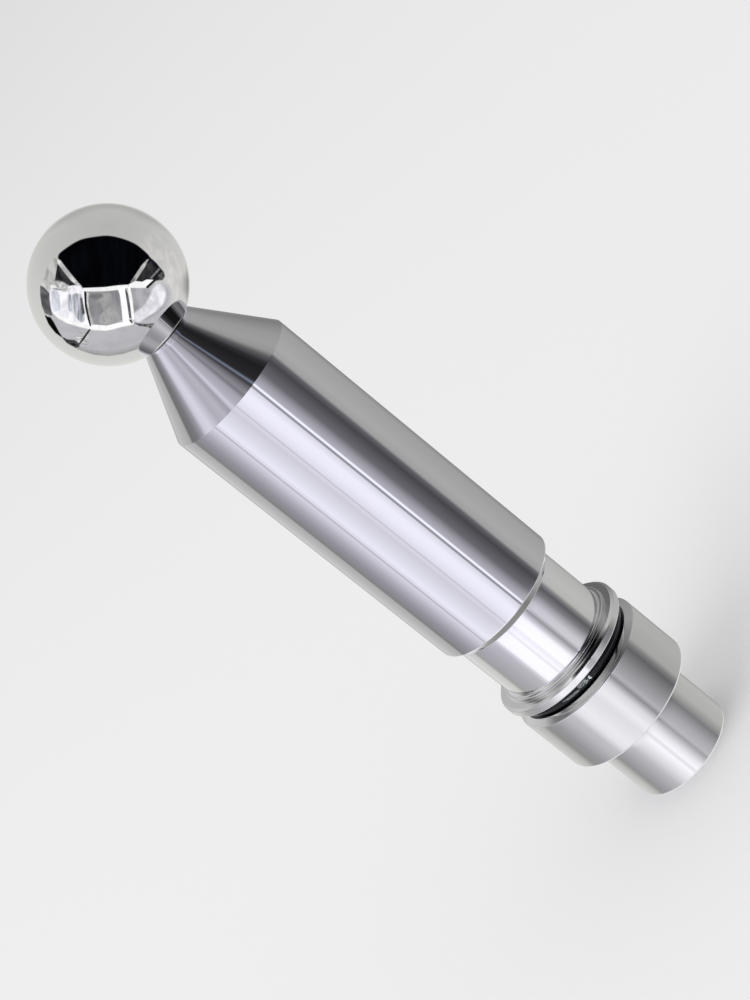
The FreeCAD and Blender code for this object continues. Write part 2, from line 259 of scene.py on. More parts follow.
class Graph:
    """A material with short ways to add its parts."""

    def __init__(self, name):
        self.material = bpy.data.materials.new(name)
        self.material.use_nodes = True
        self.nodes = self.material.node_tree.nodes
        self.links = self.material.node_tree.links
        self.shader = self.nodes["Principled BSDF"]
        self.output = self.nodes["Material Output"]

    def add(self, kind, **settings):
        node = self.nodes.new(kind)
        for key, value in settings.items():
            setattr(node, key, value)
        return node

    def feed(self, socket, source):
        """Gives a socket what another part puts out, or a plain number or colour."""
        if isinstance(source, (int, float, tuple)):
            socket.default_value = source
        elif hasattr(source, "outputs"):
            self.links.new(source.outputs[0], socket)
        else:
            self.links.new(source, socket)

    def math(self, operation, first, second=0.0):
        node = self.add("ShaderNodeMath", operation=operation)
        self.feed(node.inputs[0], first)
        self.feed(node.inputs[1], second)
        return node

    def dot(self, first, axis):
        """How far a direction goes along an axis."""
        node = self.add("ShaderNodeVectorMath", operation="DOT_PRODUCT")
        self.feed(node.inputs[0], first)
        node.inputs[1].default_value = axis
        return node.outputs["Value"]

    def between(self, value, limits, results, kind="LINEAR"):
        """The first result before the limits and the second after them."""
        node = self.add("ShaderNodeMapRange", interpolation_type=kind)
        self.feed(node.inputs["Value"], value)
        node.inputs["From Min"].default_value = limits[0]
        node.inputs["From Max"].default_value = limits[1]
        node.inputs["To Min"].default_value = results[0]
        node.inputs["To Max"].default_value = results[1]
        return node

    def step(self, value, limits):
        """0 before the limits and 1 after them, smooth between."""
        return self.between(value, limits, (0, 1), "SMOOTHSTEP")

    def change(self, value, limits, first, second):
        """The first colour before the limits and the second after them."""
        return self.mix(self.step(value, limits), first, second)

    def ramp(self, value, stops):
        """Colours over a value, from stops of (place, linear colour)."""
        low = stops[0][0]
        high = stops[-1][0]
        node = self.add("ShaderNodeValToRGB")
        self.feed(node.inputs["Fac"], self.between(value, (low, high), (0, 1)))
        elements = node.color_ramp.elements
        elements.remove(elements[1])
        for index, (place, colour) in enumerate(stops):
            spot = (place - low) / (high - low)
            element = elements[0] if index == 0 else elements.new(spot)
            element.position = spot
            element.color = (*colour, 1)
        return node.outputs["Color"]

    def mix(self, share, first, second, blend="MIX"):
        node = self.add("ShaderNodeMix", data_type="RGBA", blend_type=blend)
        self.feed(node.inputs["Factor"], share)
        colours = [socket for socket in node.inputs if socket.type == "RGBA"]
        self.feed(colours[0], first)
        self.feed(colours[1], second)
        return next(socket for socket in node.outputs if socket.type == "RGBA")

    def tinted(self, colour, tint):
        """A colour times a tint."""
        return self.mix(1.0, colour, (*tint, 1), "MULTIPLY")

    def noise(self, place, cells, detail=2.0, roughness=0.5, distortion=0.0):
        """Noise over a place, with so many cells to a unit along each axis."""
        scaled = self.add("ShaderNodeVectorMath", operation="MULTIPLY")
        self.feed(scaled.inputs[0], place)
        scaled.inputs[1].default_value = cells
        node = self.add("ShaderNodeTexNoise")
        self.feed(node.inputs["Vector"], scaled)
        node.inputs["Scale"].default_value = 1.0
        node.inputs["Detail"].default_value = detail
        node.inputs["Roughness"].default_value = roughness
        node.inputs["Distortion"].default_value = distortion
        return node.outputs[0]

    def bump(self, height, depth, before=None):
        """Relief of a depth in metres, on top of another one where that is given."""
        node = self.add("ShaderNodeBump")
        node.inputs["Strength"].default_value = 1.0
        node.inputs["Distance"].default_value = depth
        self.feed(node.inputs["Height"], height)
        if before is not None:
            self.feed(node.inputs["Normal"], before)
        return node

    def object_place(self):
        """A point's place in metres."""
        return self.add("ShaderNodeTexCoord").outputs["Object"]

    def show(self, surface):
        self.feed(self.output.inputs["Surface"], surface)

    def cover(self, colour, roughness, relief):
        self.feed(self.shader.inputs["Base Color"], colour)
        self.feed(self.shader.inputs["Roughness"], roughness)
        self.feed(self.shader.inputs["Normal"], relief)
        return self.material


def ground_steel():
    """Ground and polished steel: grinding lines run round the bar, with faint wiping marks."""
    graph = Graph("ground_steel")
    place = graph.object_place()
    fine = graph.noise(place, (90, 90, 7000), detail=3.0, roughness=0.6)
    broad = graph.noise(place, (50, 50, 1100))
    handling = graph.noise(place, (90, 90, 60), detail=4.0, roughness=0.6, distortion=0.5)
    scratch = graph.noise(place, (260, 260, 5200), detail=1.0)
    worn = graph.between(handling, (0.4, 0.75), (0.0, 0.014))
    lines = graph.between(fine, (0.3, 0.7), (0.018, 0.032))
    marks = graph.between(scratch, (0.72, 0.80), (0.0, 0.03))
    roughness = graph.math("ADD", graph.math("ADD", lines, worn), marks)
    clean = (0.78, 0.78, 0.785, 1)
    dull = (0.755, 0.755, 0.757, 1)
    fine_depth = 3e-8
    broad_depth = 1.2e-7
    relief = graph.bump(fine, fine_depth, graph.bump(broad, broad_depth))
    graph.shader.inputs["Metallic"].default_value = 1.0
    return graph.cover(graph.mix(handling, clean, dull), roughness, relief)


def lapped_steel():
    """Lapped ball: a mirror with the faintest haze and orange peel."""
    graph = Graph("lapped_steel")
    place = graph.object_place()
    haze = graph.noise(place, (160, 160, 160), detail=4.0, roughness=0.6)
    pores = graph.noise(place, (2400, 2400, 2400))
    roughness = graph.between(haze, (0.3, 0.75), (0.015, 0.04))
    clean = (0.79, 0.79, 0.795, 1)
    dull = (0.77, 0.77, 0.772, 1)
    pore_depth = 1.5e-7
    graph.shader.inputs["Metallic"].default_value = 1.0
    return graph.cover(graph.mix(haze, clean, dull), roughness, graph.bump(pores, pore_depth))


def dowel_steel():
    """Ground steel of the hidden dowel."""
    graph = Graph("dowel_steel")
    place = graph.object_place()
    lines = graph.noise(place, (300, 300, 6000), detail=3.0)
    roughness = graph.between(lines, (0.3, 0.7), (0.18, 0.3))
    pale = (0.62, 0.62, 0.63, 1)
    dark = (0.54, 0.54, 0.55, 1)
    line_depth = 4e-7
    graph.shader.inputs["Metallic"].default_value = 1.0
    return graph.cover(graph.mix(lines, pale, dark), roughness, graph.bump(lines, line_depth))


def black_rubber():
    """Oiled nitrile rubber: black, glossy, with a fine moulded skin."""
    graph = Graph("black_rubber")
    place = graph.object_place()
    skin = graph.noise(place, (3200, 3200, 3200), detail=3.0, roughness=0.6)
    oil = graph.noise(place, (220, 220, 500), detail=3.0)
    roughness = graph.between(oil, (0.3, 0.7), (0.04, 0.09))
    black = (0.006, 0.0062, 0.0085, 1)
    bloom = (0.012, 0.0125, 0.017, 1)
    skin_depth = 1.5e-8
    graph.shader.inputs["Specular IOR Level"].default_value = 0.25
    return graph.cover(graph.mix(oil, black, bloom), roughness, graph.bump(skin, skin_depth))


# Tints of the light
PLAIN = (1.0, 1.0, 1.0)
WARM = (1.0, 0.995, 0.965)
NEUTRAL = (1.0, 1.0, 1.01)
COOL = (1.0, 0.985, 1.12)
LILAC = (0.995, 0.985, 1.045)
BLUE = (0.97, 0.99, 1.10)
NIGHT = (0.9, 1.0, 1.6)
LINE_BLUE = (0.85, 1.0, 1.15)
LINE_WHITE = (0.97, 1.0, 0.98)
UNDERCUT_TINT = (0.97, 1.0, 1.03)
BELOW_TINT = (0.98, 1.0, 1.01)
BLOTCH_TINT = (1.0, 0.985, 1.01)

# Light tent round the bar. A level is the display grey, from 0 to 255, that the steel shows.
# Each list runs over the azimuth in degrees, from the camera's side towards +X.
STEEL_REFLECTANCE = 0.775
BAR_TENT_HALF = 100.0

SPIGOT_BAND = (
    (-180, 150), (-157, 200), (-129, 186), (-111, 145), (-90, 162), (-66, 186), (-45, 224),
    (-26, 251), (-20, 226), (-14, 250), (-4, 234), (16, 160), (22, 186), (40, 170),
    (66, 124), (77, 150), (95, 177), (139, 180), (158, 168), (180, 85),
)
COLLAR_BAND = (
    (-180, 160), (-157, 198), (-130, 182), (-118, 143), (-100, 151), (-74, 187), (-66, 192),
    (-55, 230), (-45, 236), (-27, 226), (-20, 224), (-8, 238), (5, 218), (16, 140), (22, 180),
    (28, 166), (53, 124), (66, 98), (74, 125), (83, 166), (120, 173), (150, 169), (180, 120),
)
FLANGE_BAND = (
    (-180, 150), (-157, 200), (-144, 198), (-120, 165), (-98, 160), (-75, 188), (-61, 222),
    (-49, 246), (-25, 236), (-10, 250), (1, 248), (6, 180), (16, 170), (26, 190), (50, 130),
    (72, 126), (96, 178), (150, 168), (180, 100),
)
NECK_BAND = (
    (-180, 95), (-156, 212), (-124, 200), (-116, 160), (-89, 172), (-69, 186), (-62, 210),
    (-57, 253), (-36, 255), (-32.5, 232), (-29, 254), (-20, 240), (-16, 256), (1, 252),
    (8, 205), (16, 148), (24, 206), (33, 202), (53, 124), (65, 90), (73, 128), (80, 182),
    (100, 187), (130, 179), (154, 167), (180, 95),
)
CYLINDER_BAND = (
    (-180, 120), (-156, 195), (-120, 172), (-117, 128), (-98, 148), (-84, 175), (-69, 212),
    (-67.1, 212), (-66, 155), (-64.9, 214), (-58, 236), (-45, 222), (-28, 206), (-21.6, 220),
    (-20.4, 166), (-19.2, 222), (-6, 238), (4, 240), (13.9, 218), (15.9, 84), (17.9, 190),
    (19.8, 272, LINE_WHITE), (22, 178), (30, 158), (41, 104), (63, 70), (72, 98), (77, 160),
    (92, 169), (140, 156), (180, 105),
)
NOSE_BAND = (
    (-180, 120), (-155, 187), (-126, 170), (-121, 112), (-108, 123), (-98, 154), (-90, 206),
    (-80, 214), (-62, 175), (-48, 182), (-37, 158), (-30, 208), (-24, 180), (-9, 163),
    (-2.5, 120), (3, 138), (11, 115), (16, 88), (19, 54), (21.6, 78), (24.1, 132, LINE_BLUE),
    (26.6, 78, LINE_BLUE), (29, 42), (54, 30), (64, 46), (75, 92), (84, 150), (96, 158),
    (118, 153), (150, 124), (180, 110),
)
CHAMFER_BAND = (
    (-180, 145), (-150, 200), (-136, 203), (-122, 192), (-106, 166), (-88, 190), (-66, 162),
    (-50, 200), (-36, 220), (-28, 120), (-20, 55), (0, 34), (36, 14), (60, 16), (67, 34),
    (78, 118), (88, 184), (106, 182), (122, 176), (150, 144), (180, 110),
)
CONE_BAND = (
    (-180, 190), (-152, 192), (-134, 182), (-124, 120), (-112, 108), (-101, 172), (-83, 180),
    (-28, 178), (0, 168), (28, 108), (83, 108), (100, 68), (113, 115), (134, 150), (152, 140),
    (180, 155),
)
# Level faces see a narrow part of the tent, over its X
LEVEL_FACE_BAND = ((-0.03, 178), (0.0, 140), (0.03, 100))

# What one piece of steel shows in another: the nose in the ball, the neck in the run-out
# chamfer, the boss and neck in the flange's face, the neck in its root fillet
NOSE_IN_BALL_BAND = (
    (-180, 200), (-127, 195), (-118, 140), (-108, 85), (-88, 122), (-70, 160), (-55, 160),
    (-41, 142), (-27, 148), (-14, 168), (-1, 192), (13, 165), (17, 135), (19.5, 186),
    (22, 80), (28, 50), (41, 20), (67, 20), (87, 113), (112, 80), (118, 150), (180, 167),
)
RUNOUT_BAND = (
    (-180, 205), (-127, 200), (-104, 150), (-77, 138), (0, 136), (43, 121), (77, 140),
    (104, 162), (180, 166),
)
FACE_BAND = (
    (-180, 170), (-135, 166), (-117, 100), (-103, 105), (-94, 150), (-78, 178), (-50, 136),
    (-25, 165), (-12, 150), (0, 105), (12, 40), (25, 4), (50, 5), (62, 50), (76, 128),
    (97, 148), (120, 118), (150, 106), (180, 96),
)
ROOT_BAND = (
    (-180, 190), (-92, 195), (-69, 110), (-38, 182), (0, 200), (18, 150), (38, 84), (48, 6),
    (74, 4), (92, 86), (180, 130),
)
# The plain light from below, as faces that look steeply down show it, and as the rest do
UNDERCUT_LEVEL = 246
BELOW_LEVEL = 222

# Mean radius of the upright walls, and the heights between which the next one takes over
WALL_RADIUS = 14.0
WALL_ZONES = (
    (COLLAR_BAND, (14.8, 15.8)),
    (FLANGE_BAND, (32.0, 33.5)),
    (NECK_BAND, (36.6, 38.0)),
    (CYLINDER_BAND, (53.0, 53.9)),
)
# The walls' light is cool between these azimuths, more so above these heights. Beside them
# it is warm low on the bar and neutral above
COOL_START = (-122, -98)
COOL_END = (68, 78)
COOL_HEIGHTS = (36, 58)
NEUTRAL_HEIGHTS = (40, 60)

# Tilts between which the next kind of face takes over: 0 upright, 90 level and looking up
NOSE_TILTS = (8, 16)
BEVEL_ZONES = ((CHAMFER_BAND, (36, 41)), (CONE_BAND, (48, 52)))
LEVEL_FACE_TILTS = (72, 80)
UNDERCUT_TILTS = (-40, -34)
# Elevations between which the light from below ends
BELOW_ELEVATIONS = (-33, -29.5)

# What one piece shows in another: band, number of reflections, tint and the elevations
# between which it takes over
SECOND_ZONES = (
    (NOSE_IN_BALL_BAND, 2, LILAC, (-44, -40)),
    (CONE_BAND, 3, PLAIN, (11, 13)),
    (FACE_BAND, 2, PLAIN, (20.5, 22.5)),
    (ROOT_BAND, 3, PLAIN, (40, 44)),
)
# Low behind the bar lies what the flange's underside shows in the front cone
LOW_BEHIND = (0, 0.316, -0.949)
LOW_BEHIND_LIMITS = (0.80, 0.85)


def srgb(level):
    """Linear light of a display level from 0 to 255."""
    value = level / 255
    return value / 12.92 if value <= 0.04045 else ((value + 0.055) / 1.055) ** 2.4


def tent_light(level, tint=PLAIN):
    """Light that the steel shows as a level."""
    value = srgb(level) / STEEL_REFLECTANCE
    return tuple(value * part for part in tint)


def tent_colour(level, tint):
    """The same as one colour."""
    return (*tent_light(level, tint), 1)


def grey_stops(band, bounces=1):
    """Stops of a band that shows its levels after so many bounces between steel."""
    lost = STEEL_REFLECTANCE ** (bounces - 1)
    stops = []
    for place, level, *tint in band:
        light = tent_light(level, *tint)
        stops.append((place, tuple(part / lost for part in light)))
    return stops


def band_light(graph, value, band, bounces=1):
    """Colour of a band at a value."""
    return graph.ramp(value, grey_stops(band, bounces))


def hang(tent, graph, receivers):
    """Hangs a piece of tent that only these objects mirror. It lights and shades nothing."""
    graph.material.cycles.emission_sampling = "NONE"
    tent.data.materials.append(graph.material)
    tent.visible_camera = False
    tent.visible_diffuse = False
    tent.visible_transmission = False
    tent.visible_volume_scatter = False
    tent.visible_shadow = False
    tent.light_linking.receiver_collection = receivers


def glow(graph, colour):
    """Plain shining surface of a colour."""
    emission = graph.add("ShaderNodeEmission")
    graph.feed(emission.inputs["Color"], colour)
    graph.nodes.remove(graph.shader)
    return emission


def see_through(graph, shine):
    """Lets the pieces that don't mirror this part of the tent see past it."""
    both = graph.add("ShaderNodeAddShader")
    graph.feed(both.inputs[0], graph.add("ShaderNodeBsdfTransparent"))
    graph.feed(both.inputs[1], shine)
    graph.show(both)


def receivers_of(name, objects):
    """Group of the pieces that mirror one part of the tents."""
    group = bpy.data.collections.new(name)
    for item in objects:
        group.objects.link(item)
    return group


def box_object(name, half):
    """A cube round the bar, from half its side."""
    corners = [(x, y, z) for x in (-half, half) for y in (-half, half) for z in (-half, half)]
    faces = [(0, 1, 3, 2), (4, 6, 7, 5), (0, 4, 5, 1), (2, 3, 7, 6), (0, 2, 6, 4), (1, 5, 7, 3)]
    return new_object(name, corners, faces)


def direction(graph):
    """Direction in which a point of a tent lies."""
    place = graph.add("ShaderNodeNewGeometry").outputs["Position"]
    unit = graph.add("ShaderNodeVectorMath", operation="NORMALIZE")
    graph.feed(unit.inputs[0], place)
    return unit.outputs[0]


def seen_twice(graph):
    """1 where the steel shows the tent by way of another piece of steel."""
    bounces = graph.add("ShaderNodeLightPath").outputs["Glossy Depth"]
    return graph.step(bounces, (1.4, 1.6))


def azimuth_of(graph, unit):
    """Azimuth in radians, from the camera's side towards +X, and the rise of a direction."""
    split = graph.add("ShaderNodeSeparateXYZ")
    graph.feed(split.inputs[0], unit)
    towards_camera = graph.math("MULTIPLY", split.outputs["Y"], -1.0)
    return graph.math("ARCTAN2", split.outputs["X"], towards_camera), split.outputs["Z"]


def wall_height(graph, turn, slope):
    """Height on the bar, in millimetres, of the wall that mirrors a place to the camera."""
    bulge = graph.math("COSINE", graph.math("MULTIPLY", turn, 0.5))
    flat_distance = -CAMERA_PLACE.y / MM
    reach = graph.math("SUBTRACT", flat_distance, graph.math("MULTIPLY", bulge, WALL_RADIUS))
    drop = graph.math("MULTIPLY", graph.math("TANGENT", slope), reach)
    return graph.math("ADD", drop, CAMERA_PLACE.z / MM)


def face_tilt(graph, unit):
    """Tilt, in degrees, of the face that mirrors a place to the camera."""
    facing = graph.add("ShaderNodeVectorMath", operation="ADD")
    graph.feed(facing.inputs[0], unit)
    facing.inputs[1].default_value = BACK
    normal = graph.add("ShaderNodeVectorMath", operation="NORMALIZE")
    graph.feed(normal.inputs[0], facing)
    return graph.math("DEGREES", graph.math("ARCSINE", graph.dot(normal, (0, 0, 1))))


def wall_tint(graph, azimuth, height):
    """Tint of what the upright walls and the nose show."""
    window = graph.math(
        "MULTIPLY",
        graph.step(azimuth, COOL_START),
        graph.math("SUBTRACT", 1.0, graph.step(azimuth, COOL_END)),
    )
    cool = graph.math("MULTIPLY", window, graph.between(height, COOL_HEIGHTS, (0.5, 1.0)))
    plain = graph.change(height, NEUTRAL_HEIGHTS, (*WARM, 1), (*NEUTRAL, 1))
    return graph.mix(cool, plain, (*COOL, 1))


def second_reflection(graph, unit, azimuth, elevation):
    """What the bar shows by way of itself or the ball."""
    colour = band_light(graph, azimuth, RUNOUT_BAND, 2)
    for band, bounces, tint, limits in SECOND_ZONES:
        following = graph.tinted(band_light(graph, azimuth, band, bounces), tint)
        colour = graph.change(elevation, limits, colour, following)
    low_behind = band_light(graph, azimuth, CONE_BAND, 2)
    return graph.change(graph.dot(unit, LOW_BEHIND), LOW_BEHIND_LIMITS, colour, low_behind)


def add_bar_tent(objects):
    """Tent of the bar. Its wall below the horizon is mirrored by the upright walls, each
    height of it by one height of the bar, and its upper wall by the nose."""
    graph = Graph("bar_tent_light")
    unit = direction(graph)
    turn, rise = azimuth_of(graph, unit)
    azimuth = graph.math("DEGREES", turn)
    slope = graph.math("ARCSINE", rise)
    elevation = graph.math("DEGREES", slope)
    height = wall_height(graph, turn, slope)
    tilt = face_tilt(graph, unit)

    colour = band_light(graph, azimuth, SPIGOT_BAND)
    for band, limits in WALL_ZONES:
        colour = graph.change(height, limits, colour, band_light(graph, azimuth, band))
    colour = graph.change(tilt, NOSE_TILTS, colour, band_light(graph, azimuth, NOSE_BAND))
    tint = wall_tint(graph, azimuth, height)
    colour = graph.mix(1.0, colour, tint, "MULTIPLY")
    for band, limits in BEVEL_ZONES:
        colour = graph.change(tilt, limits, colour, band_light(graph, azimuth, band))
    level_face = band_light(graph, graph.dot(unit, (1, 0, 0)), LEVEL_FACE_BAND)
    colour = graph.change(tilt, LEVEL_FACE_TILTS, colour, level_face)
    undercut = tent_colour(UNDERCUT_LEVEL, UNDERCUT_TINT)
    below = tent_colour(BELOW_LEVEL, BELOW_TINT)
    below = graph.change(tilt, UNDERCUT_TILTS, undercut, below)
    colour = graph.change(elevation, BELOW_ELEVATIONS, below, colour)
    second = second_reflection(graph, unit, azimuth, elevation)
    colour = graph.mix(seen_twice(graph), colour, second)

    see_through(graph, glow(graph, colour))
    hang(box_object("bar_tent", BAR_TENT_HALF), graph, receivers_of("bar_tent_for", objects))


# Tent round the ball. Outlines and streaks are given where the ball shows them, with x to
# the right and y up in the picture, as fractions of the ball's radius.
BALL_CENTRE = Vector((0, 0, BALL_HEIGHT * MM))
TO_CAMERA = (CAMERA_PLACE - BALL_CENTRE).normalized()
BALL_RIGHT = (RIGHT - RIGHT.dot(TO_CAMERA) * TO_CAMERA).normalized()
BALL_UP = TO_CAMERA.cross(BALL_RIGHT)
TENT_RADIUS = 200.0


def mirrored(x, y):
    """Direction that a point of the ball mirrors to the camera."""
    out = math.sqrt(max(0.0, 1 - x * x - y * y))
    normal = x * BALL_RIGHT + y * BALL_UP + out * TO_CAMERA
    sight = (BALL_CENTRE + BALL_RADIUS * MM * normal - CAMERA_PLACE).normalized()
    return sight - 2 * sight.dot(normal) * normal


# The ball's plain surroundings, over how high they lie in the picture
RISE_BAND = (
    (-1, 205), (-0.4, 206), (0, 200), (0.28, 185), (0.45, 166), (0.62, 172), (0.78, 183),
    (0.97, 182), (1, 179),
)
# The same where the surroundings lie far to the left or right
SIDE_RISE_BAND = (
    (-1, 205), (-0.4, 206), (0, 200), (0.2, 195), (0.45, 190), (0.7, 187), (1, 182),
)
FAR_OUT = (0.28, 0.52)
# Pale blotches at the ball's right, and a soft shade at its right edge just above the nose
BLOTCH_LEVEL = 216
BLOTCH_CELLS = (5, 5, 5)
BLOTCH_SIDE = (0.45, 0.95)
BLOTCH_EDGES = (0.4, 0.7)
SHADE_LEVEL = 140
SHADE_RISE = (0.02, 0.14)
SHADE_START = (0.25, 0.45)
SHADE_END = (0.5, 0.95)


def edge_shade(graph, right, rise):
    """Share of the soft shade."""
    away = graph.math("ABSOLUTE", rise)
    level_share = graph.between(away, SHADE_RISE, (1, 0), "SMOOTHSTEP")
    start = graph.step(right, SHADE_START)
    edge_share = graph.math("MULTIPLY", start, graph.between(right, SHADE_END, (1, 0)))
    return graph.math("MULTIPLY", level_share, edge_share)


def add_ball_tent(receivers):
    """Tent of the ball, behind its cards."""
    graph = Graph("ball_tent_light")
    unit = direction(graph)
    rise = graph.dot(unit, BALL_UP)
    right = graph.dot(unit, BALL_RIGHT)
    middle = band_light(graph, rise, RISE_BAND)
    sides = band_light(graph, rise, SIDE_RISE_BAND)
    colour = graph.change(graph.math("ABSOLUTE", right), FAR_OUT, middle, sides)
    cloud = graph.noise(unit, BLOTCH_CELLS, detail=3.0, roughness=0.6, distortion=0.6)
    blotch = graph.between(cloud, BLOTCH_EDGES, (0, 1))
    share = graph.math("MULTIPLY", graph.step(right, BLOTCH_SIDE), blotch)
    colour = graph.mix(share, colour, tent_colour(BLOTCH_LEVEL, BLOTCH_TINT))
    shade = edge_shade(graph, right, rise)
    colour = graph.mix(shade, colour, tent_colour(SHADE_LEVEL, PLAIN))
    colour = graph.tinted(colour, WARM)
    # What the ball shows in the nose
    turn, _ = azimuth_of(graph, unit)
    in_nose = band_light(graph, graph.math("DEGREES", turn), NOSE_BAND, 2)
    colour = graph.mix(seen_twice(graph), colour, graph.tinted(in_nose, COOL))
    graph.show(glow(graph, colour))
    hang(box_object("ball_tent", TENT_RADIUS), graph, receivers)


# Cards: points to a stretch of a rounded outline, longest edge and spacing of the points,
# how far these stay off the outline, how close two become one, the gap between tent and
# first card, and the two edges of a streak
CURVE_STEPS = 5
CARD_SPACING = 0.03
CARD_MARGIN = 0.006
CARD_MERGE = 1e-6
CARD_GAP = 2.0
STREAK_EDGES = (0.38, 0.62)


def smooth(points):
    """Closed curve through the points, as more points."""
    made = []
    count = len(points)
    for i in range(count):
        group = [points[(i + k) % count] for k in (-1, 0, 1, 2)]
        for j in range(CURVE_STEPS):
            u = j / CURVE_STEPS
            weights = (
                (-u + 2 * u * u - u ** 3) / 2,
                (2 - 5 * u * u + 3 * u ** 3) / 2,
                (u + 4 * u * u - 3 * u ** 3) / 2,
                (u ** 3 - u * u) / 2,
            )
            x = sum(weight * point[0] for weight, point in zip(weights, group))
            y = sum(weight * point[1] for weight, point in zip(weights, group))
            made.append((x, y))
    return made


def divided(points):
    """The closed outline with its long edges split."""
    made = []
    for i, start in enumerate(points):
        end = points[(i + 1) % len(points)]
        parts = max(1, math.ceil(math.dist(start, end) / CARD_SPACING))
        for k in range(parts):
            share = k / parts
            x = start[0] + (end[0] - start[0]) * share
            y = start[1] + (end[1] - start[1]) * share
            made.append((x, y))
    return made


def feathered(points, width):
    """The closed outline moved outwards by a width."""
    area = 0.0
    for i, (x, y) in enumerate(points):
        x2, y2 = points[(i + 1) % len(points)]
        area += x * y2 - x2 * y
    side = math.copysign(width, area)
    made = []
    for i, (x, y) in enumerate(points):
        x1, y1 = points[i - 1]
        x2, y2 = points[(i + 1) % len(points)]
        length = math.dist((x1, y1), (x2, y2))
        made.append((x + side * (y2 - y1) / length, y - side * (x2 - x1) / length))
    return made


def edge_distance(point, points):
    """Distance from a point to a closed outline, and whether the point is inside."""
    nearest = math.inf
    inside = False
    x, y = point
    for i, (x1, y1) in enumerate(points):
        x2, y2 = points[(i + 1) % len(points)]
        if (y1 > y) != (y2 > y) and x < x1 + (x2 - x1) * (y - y1) / (y2 - y1):
            inside = not inside
        length = (x2 - x1) ** 2 + (y2 - y1) ** 2
        share = ((x - x1) * (x2 - x1) + (y - y1) * (y2 - y1)) / length if length else 0
        share = min(1, max(0, share))
        beside = (x1 + share * (x2 - x1), y1 + share * (y2 - y1))
        nearest = min(nearest, math.dist(point, beside))
    return nearest, inside


def filled(corners):
    """Points and triangles that fill a closed outline."""
    points = list(corners)
    low = [min(point[axis] for point in corners) for axis in (0, 1)]
    high = [max(point[axis] for point in corners) for axis in (0, 1)]
    for i in range(int((high[0] - low[0]) / CARD_SPACING) + 1):
        for j in range(int((high[1] - low[1]) / CARD_SPACING) + 1):
            x = low[0] + (i + 0.5) * CARD_SPACING
            y = low[1] + (j + 0.5) * CARD_SPACING
            distance, inside = edge_distance((x, y), corners)
            if inside and distance > CARD_MARGIN:
                points.append((x, y))
    edges = [(i, (i + 1) % len(corners)) for i in range(len(corners))]
    flat = [Vector(point) for point in points]
    spots, _, faces, *_ = delaunay_2d_cdt(flat, edges, [], 1, CARD_MERGE)
    return [tuple(spot) for spot in spots], [tuple(face) for face in faces]


def add_card(name, layer, receivers, outline, level, other, tint, streak, softness, round_it):
    """A lit card of the ball's tent with soft edges and streaks between two levels."""
    corners = divided(smooth(outline) if round_it else list(outline))
    spots, faces = filled(corners)
    solid = len(spots)
    for index, spot in enumerate(feathered(corners, softness)):
        start = index * 2
        spots += [corners[index], spot]
        after = (start + 2) % (2 * len(corners))
        faces.append((solid + start, solid + start + 1, solid + after + 1, solid + after))
    radius = TENT_RADIUS - CARD_GAP - layer
    card = new_object(name, [radius * mirrored(*spot) for spot in spots], faces)
    cover = card.data.attributes.new("cover", "FLOAT", "POINT")
    where = card.data.attributes.new("spot", "FLOAT_VECTOR", "POINT")
    for index, spot in enumerate(spots):
        outer = index >= solid and (index - solid) % 2 == 1
        cover.data[index].value = 0.0 if outer else 1.0
        where.data[index].vector = (*spot, 0)
    graph = Graph(name + "_light")
    place = graph.add("ShaderNodeAttribute", attribute_name="spot").outputs["Vector"]
    cloud = graph.noise(place, (*streak, 1), detail=4.0, roughness=0.6, distortion=1.2)
    share = graph.between(cloud, STREAK_EDGES, (0, 1))
    colour = graph.mix(share, tent_colour(level, tint), tent_colour(other, tint))
    both = graph.add("ShaderNodeMixShader")
    amount = graph.add("ShaderNodeAttribute", attribute_name="cover").outputs["Fac"]
    amount = graph.math("MULTIPLY", amount, graph.math("SUBTRACT", 1.0, seen_twice(graph)))
    graph.feed(both.inputs[0], amount)
    graph.feed(both.inputs[1], graph.add("ShaderNodeBsdfTransparent"))
    graph.feed(both.inputs[2], glow(graph, colour))
    graph.show(both)
    hang(card, graph, receivers)


